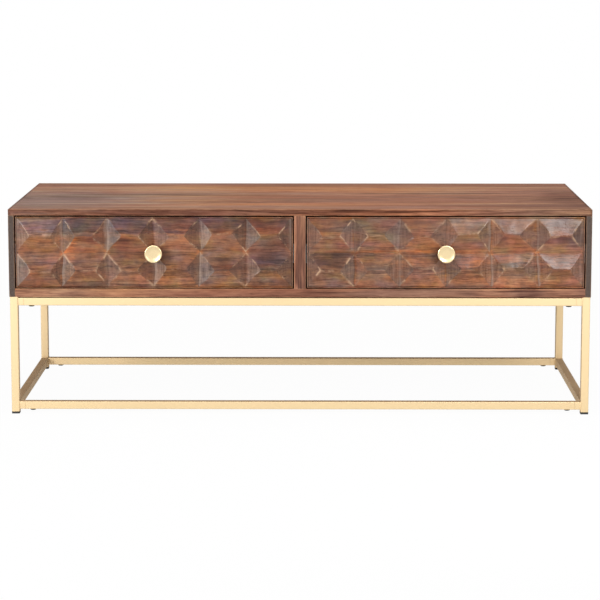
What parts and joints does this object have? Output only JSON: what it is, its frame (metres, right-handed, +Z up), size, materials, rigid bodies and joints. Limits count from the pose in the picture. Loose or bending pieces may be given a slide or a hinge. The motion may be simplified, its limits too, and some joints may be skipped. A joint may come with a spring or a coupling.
{
  "type": "coffee table",
  "caption": "Low coffee table: carved wooden drawer cabinet with round knobs on a gold square tube frame, drawers on ball slides.",
  "frame": {"origin": "on the floor, in the middle of the box that holds the whole table, knobs included", "axes": "+X along the length, -Y towards the drawer side, +Z up"},
  "size_m": [1.1, 0.5264, 0.392],
  "materials": {
    "stained_wood": "walnut-stained solid hardwood, satin lacquer",
    "carved_wood": "stained and carved, ridges rubbed lighter",
    "back_wood": "stained, matt",
    "drawer_wood": "planed, unstained",
    "drawer_plywood": "sanded plywood",
    "dowel_wood": "fluted hardwood",
    "gold_paint": "gold powder coat, satin",
    "knob_gold": "pale gold, turned, satin",
    "slide_steel": "zinc plated",
    "screw_steel": "zinc plated",
    "black_bolt": "black oxide",
    "foot_plastic": "moulded, matt"
  },
  "bodies": {
    "cabinet": {"back_panel": "back_wood", "bottom_panel": "stained_wood", "cabinet_bolts": "black_bolt", "cabinet_dowels": "dowel_wood", "cabinet_rail_screws": "screw_steel", "centre_divider": "stained_wood", "foot_caps": "foot_plastic", "front_left_leg": "gold_paint", "front_lower_rail": "gold_paint", "front_right_leg": "gold_paint", "front_top_rail": "gold_paint", "left_drawer_left_fixed_rail": "slide_steel", "left_drawer_right_fixed_rail": "slide_steel", "left_lower_side_bar": "gold_paint", "left_side_panel": "stained_wood", "left_top_side_bar": "gold_paint", "rail_bolts": "black_bolt", "rail_connectors": "gold_paint", "rear_left_leg": "gold_paint", "rear_lower_rail": "gold_paint", "rear_right_leg": "gold_paint", "rear_top_rail": "gold_paint", "right_drawer_left_fixed_rail": "slide_steel", "right_drawer_right_fixed_rail": "slide_steel", "right_lower_side_bar": "gold_paint", "right_side_panel": "stained_wood", "right_top_side_bar": "gold_paint", "top_panel": "stained_wood"},
    "left_drawer": {"left_drawer_box_back": "drawer_wood", "left_drawer_box_bottom": "drawer_plywood", "left_drawer_box_front": "drawer_wood", "left_drawer_box_left_side": "drawer_wood", "left_drawer_box_right_side": "drawer_wood", "left_drawer_dowels": "dowel_wood", "left_drawer_front": "carved_wood", "left_drawer_front_screws": "screw_steel", "left_drawer_knob": "knob_gold", "left_drawer_knob_screw": "screw_steel", "left_drawer_left_moving_rail": "slide_steel", "left_drawer_rail_screws": "screw_steel", "left_drawer_right_moving_rail": "slide_steel"},
    "left_drawer_cages": {"left_drawer_left_ball_cage": "slide_steel", "left_drawer_right_ball_cage": "slide_steel"},
    "right_drawer": {"right_drawer_box_back": "drawer_wood", "right_drawer_box_bottom": "drawer_plywood", "right_drawer_box_front": "drawer_wood", "right_drawer_box_left_side": "drawer_wood", "right_drawer_box_right_side": "drawer_wood", "right_drawer_dowels": "dowel_wood", "right_drawer_front": "carved_wood", "right_drawer_front_screws": "screw_steel", "right_drawer_knob": "knob_gold", "right_drawer_knob_screw": "screw_steel", "right_drawer_left_moving_rail": "slide_steel", "right_drawer_rail_screws": "screw_steel", "right_drawer_right_moving_rail": "slide_steel"},
    "right_drawer_cages": {"right_drawer_left_ball_cage": "slide_steel", "right_drawer_right_ball_cage": "slide_steel"}
  },
  "joints": [
    {"name": "left_drawer_slide", "type": "slide", "parent": "cabinet", "child": "left_drawer", "axis": [0, -1, 0], "range_m": [0, 0.3]},
    {"name": "left_cage_slide", "type": "slide", "parent": "cabinet", "child": "left_drawer_cages", "axis": [0, -1, 0], "range_m": [0, 0.15]},
    {"name": "right_drawer_slide", "type": "slide", "parent": "cabinet", "child": "right_drawer", "axis": [0, -1, 0], "range_m": [0, 0.3]},
    {"name": "right_cage_slide", "type": "slide", "parent": "cabinet", "child": "right_drawer_cages", "axis": [0, -1, 0], "range_m": [0, 0.15]}
  ],
  "couplings": [
    {"joint": "left_cage_slide", "follows": "left_drawer_slide", "ratio": 0.5},
    {"joint": "right_cage_slide", "follows": "right_drawer_slide", "ratio": 0.5}
  ]
}
